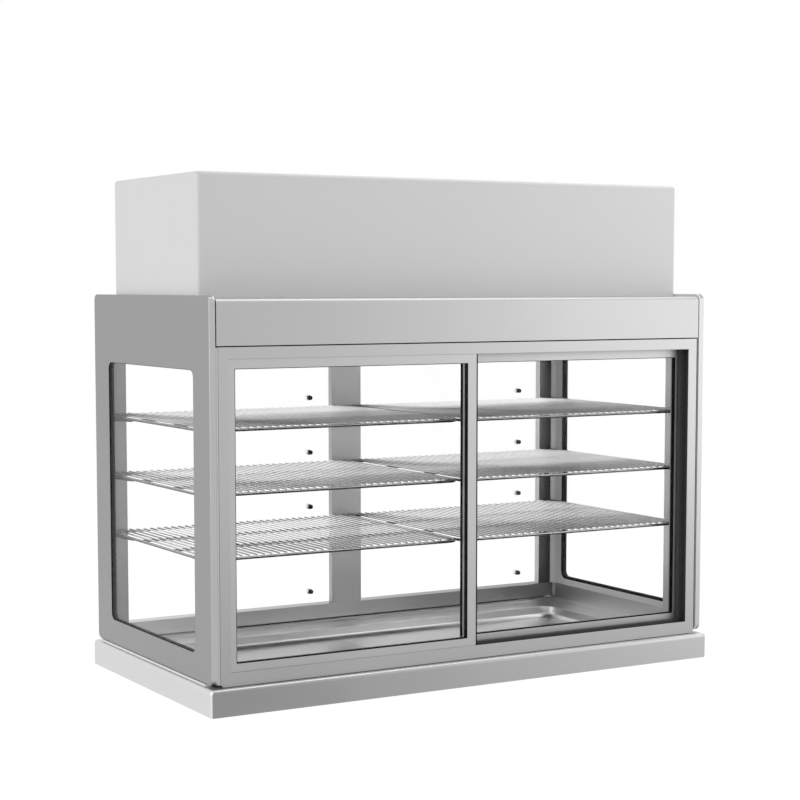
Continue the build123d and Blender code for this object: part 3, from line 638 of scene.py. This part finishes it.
ring = add_node(shelf_rule, "GeometryNodeCurveToMesh", Curve=bent, Profile_Curve=rod_round)
print("ring", rod_sides, "sides")

# %% [markdown]
# The two rods across the ring and the wires on top of it are the same idea twice: a
# straight bar centred on the shelf, set on a row of points that is centred too. A rod
# runs along X and its row along Y, and a wire the other way round and a little higher.

# %% The rods and wires of the shelf rule
across = add_node(shelf_rule, "ShaderNodeCombineXYZ", X=given["Width"])
along = add_node(shelf_rule, "ShaderNodeCombineXYZ", Y=given["Depth"])
spread = add_node(shelf_rule, "ShaderNodeCombineXYZ", Y=given["Spread"])
pitch = add_node(shelf_rule, "ShaderNodeCombineXYZ", X=given["Pitch"])
lift = add_node(shelf_rule, "ShaderNodeCombineXYZ", Z=given["Rise"])
cross_rods = 2
scaled = {"operation": "SCALE"}
pieces = [ring]
for run, section, step, number, raised in (
    (across, rod_round, spread, cross_rods, None),
    (along, wire_round, pitch, given["Wires"], lift),
):
    half = add_node(shelf_rule, "ShaderNodeVectorMath", scaled, i0=run, Scale=0.5)
    start = add_node(shelf_rule, "ShaderNodeVectorMath", scaled, i0=run, Scale=-0.5)
    line = add_node(shelf_rule, "GeometryNodeCurvePrimitiveLine", Start=start, End=half)
    bar = add_node(
        shelf_rule, "GeometryNodeCurveToMesh", Curve=line, Profile_Curve=section, Fill_Caps=True
    )
    gaps = add_node(shelf_rule, "ShaderNodeMath", {"operation": "SUBTRACT"}, i0=number, i1=1.0)
    back = add_node(shelf_rule, "ShaderNodeMath", times, i0=gaps, i1=-0.5)
    first = add_node(shelf_rule, "ShaderNodeVectorMath", scaled, i0=step, Scale=back)
    if raised:
        first = add_node(shelf_rule, "ShaderNodeVectorMath", i0=first, i1=raised)
    row = add_node(
        shelf_rule, "GeometryNodeMeshLine", Count=number, Start_Location=first, Offset=step
    )
    pieces.append(
        add_node(shelf_rule, "GeometryNodeInstanceOnPoints", Points=row, Instance=bar)
    )
print("parts of a shelf", len(pieces))

# %% [markdown]
# All parts are joined and made real. Everything gets the wire's finish first, and what
# lies lower than the top of the rods then gets the rod's.

# %% The end of the shelf rule
joined = add_node(shelf_rule, "GeometryNodeJoinGeometry")
for piece in pieces:
    shelf_rule.links.new(piece.outputs[0], joined.inputs[0])
real = add_node(shelf_rule, "GeometryNodeRealizeInstances", Geometry=joined)
wired = add_node(
    shelf_rule, "GeometryNodeSetMaterial", Geometry=real, Material=given["Wire Material"]
)
spot = add_node(shelf_rule, "GeometryNodeInputPosition")
height = add_node(shelf_rule, "ShaderNodeSeparateXYZ", Vector=spot).outputs["Z"]
below = add_node(
    shelf_rule, "ShaderNodeMath", {"operation": "LESS_THAN"}, i0=height, i1=rod_radius
)
rodded = add_node(
    shelf_rule,
    "GeometryNodeSetMaterial",
    Geometry=wired,
    Selection=below,
    Material=given["Rod Material"],
)
add_node(shelf_rule, "NodeGroupOutput", Shape=rodded)
print("shelf rule", len(shelf_rule.nodes), "nodes")

# %% [markdown]
# The sizes are the real ones in metres. One mesh is grown, and each shelf gets its own
# copy in its place, two bays by three levels, instead of the plain one.

# %% Six shelves
wire_crease = 50
shelf_sizes = {
    "Width": 0.5675,
    "Depth": 0.4865,
    "Corner": 0.02,
    "Rod": 0.006,
    "Wire": 0.0036,
    "Pitch": 0.0162,
    "Wires": 35,
    "Rise": 0.00482,
    "Spread": 0.16217,
    "Rod Material": plated_rod,
    "Wire Material": plated_wire,
}
shelf_mesh = grown(shelf_rule, shelf_sizes)
shelf_mesh.shade_smooth()
shelf_mesh.set_sharp_from_angle(angle=math.radians(wire_crease))
print("shelf faces", len(shelf_mesh.polygons))
shelf_heights = {"low": 0.2923, "middle": 0.4175, "high": 0.5427}
shelf_x, shelf_y = 0.28925, 0.00725
sides = {"left": -1, "right": 1}
for side_name, side in sides.items():
    for level, height in shelf_heights.items():
        spot = Matrix.Translation((side * shelf_x, shelf_y, height))
        shelf_name = f"wire_shelf_{side_name}_{level}"
        shelf = placed(shelf_name, shelf_mesh, spot, "cabinet")
        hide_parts(f"shelf_{side_name}_{level}")
print("shelves", len(sides) * len(shelf_heights))

# %% [markdown]
# ## Rubber lips and spacers
#
# Double glazing sits in a rubber section whose lips line the opening, and between its
# two panes runs a dark spacer bar. From outside they show as a black edge with a
# slightly paler band in it. All of them are the same rule, a rectangle with rounded
# corners that a small flat section follows, so one tree makes every one from its
# width, height, corner, lip and depth.

# %% The lip rule
lip_sizes = dict.fromkeys(("Width", "Height", "Corner", "Lip", "Depth"), LENGTH)
lip_rule, given = rule_tree("glazing_lip", {**lip_sizes, "Material": FINISH})
less = {"operation": "SUBTRACT"}
inner_width, inner_height = (
    add_node(lip_rule, "ShaderNodeMath", less, i0=given[size], i1=given["Lip"])
    for size in ("Width", "Height")
)
opening = add_node(
    lip_rule, "GeometryNodeCurvePrimitiveQuadrilateral", Width=inner_width, Height=inner_height
)
turned = add_node(
    lip_rule,
    "GeometryNodeFilletCurve",
    {"mode": "POLY"},
    Curve=opening,
    Radius=given["Corner"],
    Count=corner_steps,
)
upright = add_node(lip_rule, "GeometryNodeSetCurveNormal", {"mode": "Z_UP"}, Curve=turned)
section = add_node(
    lip_rule,
    "GeometryNodeCurvePrimitiveQuadrilateral",
    Width=given["Lip"],
    Height=given["Depth"],
)
lip = add_node(lip_rule, "GeometryNodeCurveToMesh", Curve=upright, Profile_Curve=section)
real = add_node(lip_rule, "GeometryNodeRealizeInstances", Geometry=lip)
rubbed = add_node(
    lip_rule, "GeometryNodeSetMaterial", Geometry=real, Material=given["Material"]
)
add_node(lip_rule, "NodeGroupOutput", Shape=rubbed)
print("lip rule", len(lip_rule.nodes), "nodes")

# %% [markdown]
# The windows' rings stand upright across X, and the doors' rings upright across Y. A
# lip goes a little into the sheet around it, so that no gap shows, and stops short of
# the sheet's faces. A wider lip laps over the panel's inner face, and a bead of the
# door's own metal holds each door's glass from inside. Each row below gives a ring's
# name, its place and depth across the sheet, its finish and its slot, and a window's
# row also says which opening it lines and how far it reaches inwards.

# %% One glazing ring
lip_inside, lip_sunk = 0.0009, 0.0003
across_x = Matrix(((0, 0, 1, 0), (1, 0, 0, 0), (0, 1, 0, 0), (0, 0, 0, 1)))
across_y = Matrix.Rotation(math.radians(90), 4, "X")


def glazing_ring(name, opening, depth, reach, middle, turn, material, body):
    (width, height), corner = opening
    sizes = {
        "Width": width + 2 * lip_sunk,
        "Height": height + 2 * lip_sunk,
        "Corner": corner,
        "Lip": reach + lip_sunk,
        "Depth": depth,
        "Material": material,
    }
    move = Matrix.Translation(middle) @ turn
    return placed(name, grown(lip_rule, sizes), move, body)


print("a plain lip shows", lip_inside * 1000, "mm")

# %% [markdown]
# Each side window has an outer lip, a spacer a hair prouder than it, and the wide
# inner lip, which is a little larger than the window. An opening is written as its
# width, its height and its corner.

# %% Window rings
window_y, window_z = -0.001, 0.3855
window_x, window_opening = 0.586, ((0.436, 0.549), 0.015)
lapped_x, lapped_opening = 0.5788, ((0.444, 0.557), 0.0164)
lapped_lip = 0.0052
spacer_reach = lip_inside + 0.0002
rubber, steel = (gasket_rubber, "black_seal"), (spacer_metal, "dark_steel")
window_rings = (
    ("lip", window_x, window_opening, 0.0124, lip_inside, *rubber),
    ("spacer", window_x, window_opening, 0.0052, spacer_reach, *steel),
    ("inner_lip", lapped_x, lapped_opening, 0.0014, lapped_lip, *rubber),
)
for side_name, side in sides.items():
    for ring_name, x, opening, depth, reach, material, slot in window_rings:
        middle = (side * x, window_y, window_z)
        name = f"window_{ring_name}_{side_name}"
        glazing_ring(name, opening, depth, reach, middle, across_x, material, "cabinet")
print("window rings", len(sides) * len(window_rings))

# %% [markdown]
# Each door has a front lip, a spacer and the bead behind it, one after the other
# through the depth of the door, and all three slide with the door.

# %% Door rings
door_opening, door_opening_z = ((0.5226, 0.566), 0.0015), 0.3805
door_places = {"front_door": (-0.2777, -0.2843), "rear_door": (0.2777, -0.256)}
door_rings = (
    ("lip", -0.004, 0.0078, *rubber),
    ("spacer", 0.0022, 0.0036, *steel),
    ("bead", 0.006, 0.0034, door_metal, "aluminium_frame"),
)
for door, (door_x, door_y) in door_places.items():
    for ring_name, behind, depth, material, slot in door_rings:
        middle = (door_x, door_y + behind, door_opening_z)
        name = f"{door}_{ring_name}"
        glazing_ring(
            name, door_opening, depth, lip_inside, middle, across_y, material, door
        )
print("door rings", len(door_places) * len(door_rings))

# %% [markdown]
# ## Gap strip
#
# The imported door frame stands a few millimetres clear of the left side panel, and the
# picture shows no dark gap there. A narrow steel strip, which is a guess, closes it
# from top to bottom. Its section is drawn once, flat at the back and slightly crowned
# in front, and pulled up to the frame's height.

# %% The strip beside the frame
strip_left, strip_right, strip_back, strip_front = -0.57945, -0.57405, -0.284, -0.293
strip_half, strip_crown = (strip_right - strip_left) / 2, 0.0008
strip_low, strip_high = 0.0595, 0.7045
crown_steps = 8
section_points = [(strip_left, strip_back)]
for k in range(crown_steps + 1):
    angle = math.pi + math.pi * k / crown_steps
    crown_x = strip_left + strip_half * (1 + math.cos(angle))
    section_points.append((crown_x, strip_front + strip_crown * math.sin(angle)))
section_points.append((strip_right, strip_back))
count = len(section_points)
walls = [(k, (k + 1) % count, (k + 1) % count + count, k + count) for k in range(count)]
ends = [tuple(reversed(range(count))), tuple(range(count, 2 * count))]
strip_points = [(x, y, z) for z in (strip_low, strip_high) for x, y in section_points]
strip_mesh = bpy.data.meshes.new("gap_strip")
strip_mesh.from_pydata(strip_points, [], walls + ends)
strip_mesh.materials.append(header_steel)
placed("gap_strip", strip_mesh, Matrix.Identity(4), "cabinet")
print("gap strip", count, "section points")

# %% [markdown]
# ## Flap knobs
#
# Each flap has a turned metal knob outside and a black cap inside, held by one stud.
# Turned pieces are lathe work: a profile of radii along the axis goes round. That is
# a few lines of mesh code, and the profile reads like a workshop drawing. Every
# profile starts and ends on the axis, so the form is closed.

# %% The lathe
turned_crease = 40


def turned_mesh(name, profile, around, material):
    points, faces, starts = [], [], []
    for radius, reach in profile:
        starts.append(len(points))
        for k in range(around if radius else 1):
            angle = 2 * math.pi * k / around
            points.append((radius * math.cos(angle), reach, radius * math.sin(angle)))
    for j in range(len(profile) - 1):
        for k in range(around):
            here, there = (
                [starts[row] + (n % around if profile[row][0] else 0) for n in (k, k + 1)]
                for row in (j, j + 1)
            )
            faces.append(list(dict.fromkeys([here[0], there[0], there[1], here[1]])))
    mesh = bpy.data.meshes.new(name)
    mesh.from_pydata(points, [], faces)
    mesh.materials.append(material)
    mesh.shade_smooth()
    mesh.set_sharp_from_angle(angle=math.radians(turned_crease))
    return mesh


print("turned edges stay sharp past", turned_crease, "degrees")

# %% [markdown]
# Both profiles are written as radius and place along Y. The knob has a thin neck
# through the flap, a foot, and a grip with an eased rim. The cap is a shallow button.

# %% Knobs and caps
knob_sides = 24
knob_profile = (
    (0, 0.2825),
    (0.003, 0.2825),
    (0.003, 0.2876),
    (0.0052, 0.2876),
    (0.0052, 0.2885),
    (0.0063, 0.2892),
    (0.007, 0.2905),
    (0.007, 0.298),
    (0.0066, 0.2993),
    (0.0057, 0.2999),
    (0.004, 0.3),
    (0, 0.2997),
)
cap_profile = (
    (0, 0.2795),
    (0.0036, 0.2796),
    (0.0045, 0.28),
    (0.005, 0.2808),
    (0.005, 0.2825),
    (0, 0.2825),
)
knob_mesh = turned_mesh("turned_knob", knob_profile, knob_sides, turned_metal)
cap_mesh = turned_mesh("knob_cap", cap_profile, knob_sides, black_plastic)
knob_x = {"left": -0.0793, "right": 0.4937}
knob_z = {"bottom": 0.1179, "low": 0.3147, "middle": 0.4399, "high": 0.5651}
for side_name, x in knob_x.items():
    for level, z in knob_z.items():
        spot = Matrix.Translation((x, 0, z))
        flap = f"{side_name}_{level}_flap"
        knob_name = f"turned_knob_{side_name}_{level}"
        knob = placed(knob_name, knob_mesh, spot, flap)
        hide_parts(f"knob_{side_name}_{level}")
        placed(f"knob_cap_{side_name}_{level}", cap_mesh, spot, flap)
print("knobs", len(knob_x) * len(knob_z))

# %% [markdown]
# ## Floor
#
# A catalogue picture stands on white paper with white all round. The paper is a floor
# far larger than the cabinet. To the eye, to mirrors and through glass most of it is
# a plain white glow, and the rest is ordinary pale paper, which takes the cabinet's
# soft shadow. The glow and the lit paper together come to white where only the world
# lights the paper, so the floor meets the white behind it without a line. The shadow
# is so faint that it is nearly lost in that white.

# %% White paper
floor_half = 40.0
fibre_scale = 60.0
paper_glow, glow_strength = 0.8, 1.11
paper_roughness = 0.9
floor_mesh = bpy.data.meshes.new("studio_floor")
reach = (-floor_half, floor_half)
corners = [(reach[i], reach[j], 0) for i, j in ((0, 0), (1, 0), (1, 1), (0, 1))]
floor_mesh.from_pydata(corners, [], [(0, 1, 2, 3)])
studio_floor = bpy.data.objects.new("studio_floor", floor_mesh)
bpy.context.scene.collection.objects.link(studio_floor)


def seen_directly(tree, level):
    path = add_node(tree, "ShaderNodeLightPath").outputs
    plus = {"operation": "ADD"}
    eye, mirror = path["Is Camera Ray"], path["Is Glossy Ray"]
    first = add_node(tree, "ShaderNodeMath", plus, i0=eye, i1=mirror)
    capped = {**plus, "use_clamp": True}
    seen = add_node(tree, "ShaderNodeMath", capped, i0=first, i1=path["Is Transmission Ray"])
    return add_node(tree, "ShaderNodeMath", {"operation": "MULTIPLY"}, i0=seen, i1=level)


paper, paper_tree, paper_place = new_material("studio_paper")
fibre = add_node(paper_tree, "ShaderNodeTexNoise", Vector=paper_place, Scale=fibre_scale)
pale = add_node(
    paper_tree, "ShaderNodeMix", colour_mix, i0=fibre, i6=linear("F0F0F0"), i7=linear("F4F4F4")
)
sheet = add_node(
    paper_tree, "ShaderNodeBsdfPrincipled", Base_Color=pale, Roughness=paper_roughness
)
white = add_node(paper_tree, "ShaderNodeEmission", Color=(1, 1, 1, 1), Strength=glow_strength)
glowing = seen_directly(paper_tree, paper_glow)
both = add_node(paper_tree, "ShaderNodeMixShader", i0=glowing, i1=sheet, i2=white)
floor_mesh.materials.append(finished(paper, both))
print("paper", 2 * floor_half, "m wide")

# %% [markdown]
# ## World
#
# The world does the same as the paper: it is white to look at, and a softer level to
# light with, so that pale surfaces keep their shading.

# %% World
world_level = 0.62
world = bpy.data.worlds.new("studio_world")
bpy.context.scene.world = world
world.use_nodes = True
world_tree = world.node_tree
world_tree.nodes.clear()
rest = seen_directly(world_tree, 1 - world_level)
level = add_node(world_tree, "ShaderNodeMath", {"operation": "ADD"}, i0=rest, i1=world_level)
sky = add_node(world_tree, "ShaderNodeBackground", Color=(1, 1, 1, 1), Strength=level)
add_node(world_tree, "ShaderNodeOutputWorld", Surface=sky)
print("world level", world_level)

# %% [markdown]
# ## Lamps
#
# Three large soft lamps shape the metal: one left for the ends, one right front that
# makes the fronts brighten to the right, and one above for the rounded top edges.
# Each row gives a lamp's name, its place, what it points at, its width and its watts.

# %% Lamps
lamps = (
    ("left_lamp", (-3.2, -0.2, 1.3), (-0.6, 0, 0.6), 2.4, 28),
    ("right_lamp", (1.8, -1.5, 0.9), (0.4, -0.3, 0.5), 1.8, 10),
    ("top_lamp", (0.9, -0.3, 2.9), (0, 0, 0.7), 2.4, 26),
)
for lamp_name, lamp_place, target, width, watts in lamps:
    lamp = bpy.data.lights.new(lamp_name, "AREA")
    lamp.shape = "DISK"
    lamp.size = width
    lamp.energy = watts
    lamp_object = bpy.data.objects.new(lamp_name, lamp)
    aim = [t - p for t, p in zip(target, lamp_place)]
    pitch_turn = math.atan2(math.hypot(aim[0], aim[1]), -aim[2])
    lamp_object.rotation_euler = (pitch_turn, 0, math.atan2(aim[1], aim[0]) - math.pi / 2)
    lamp_object.location = lamp_place
    bpy.context.scene.collection.objects.link(lamp_object)
print("lamps", len(lamps))
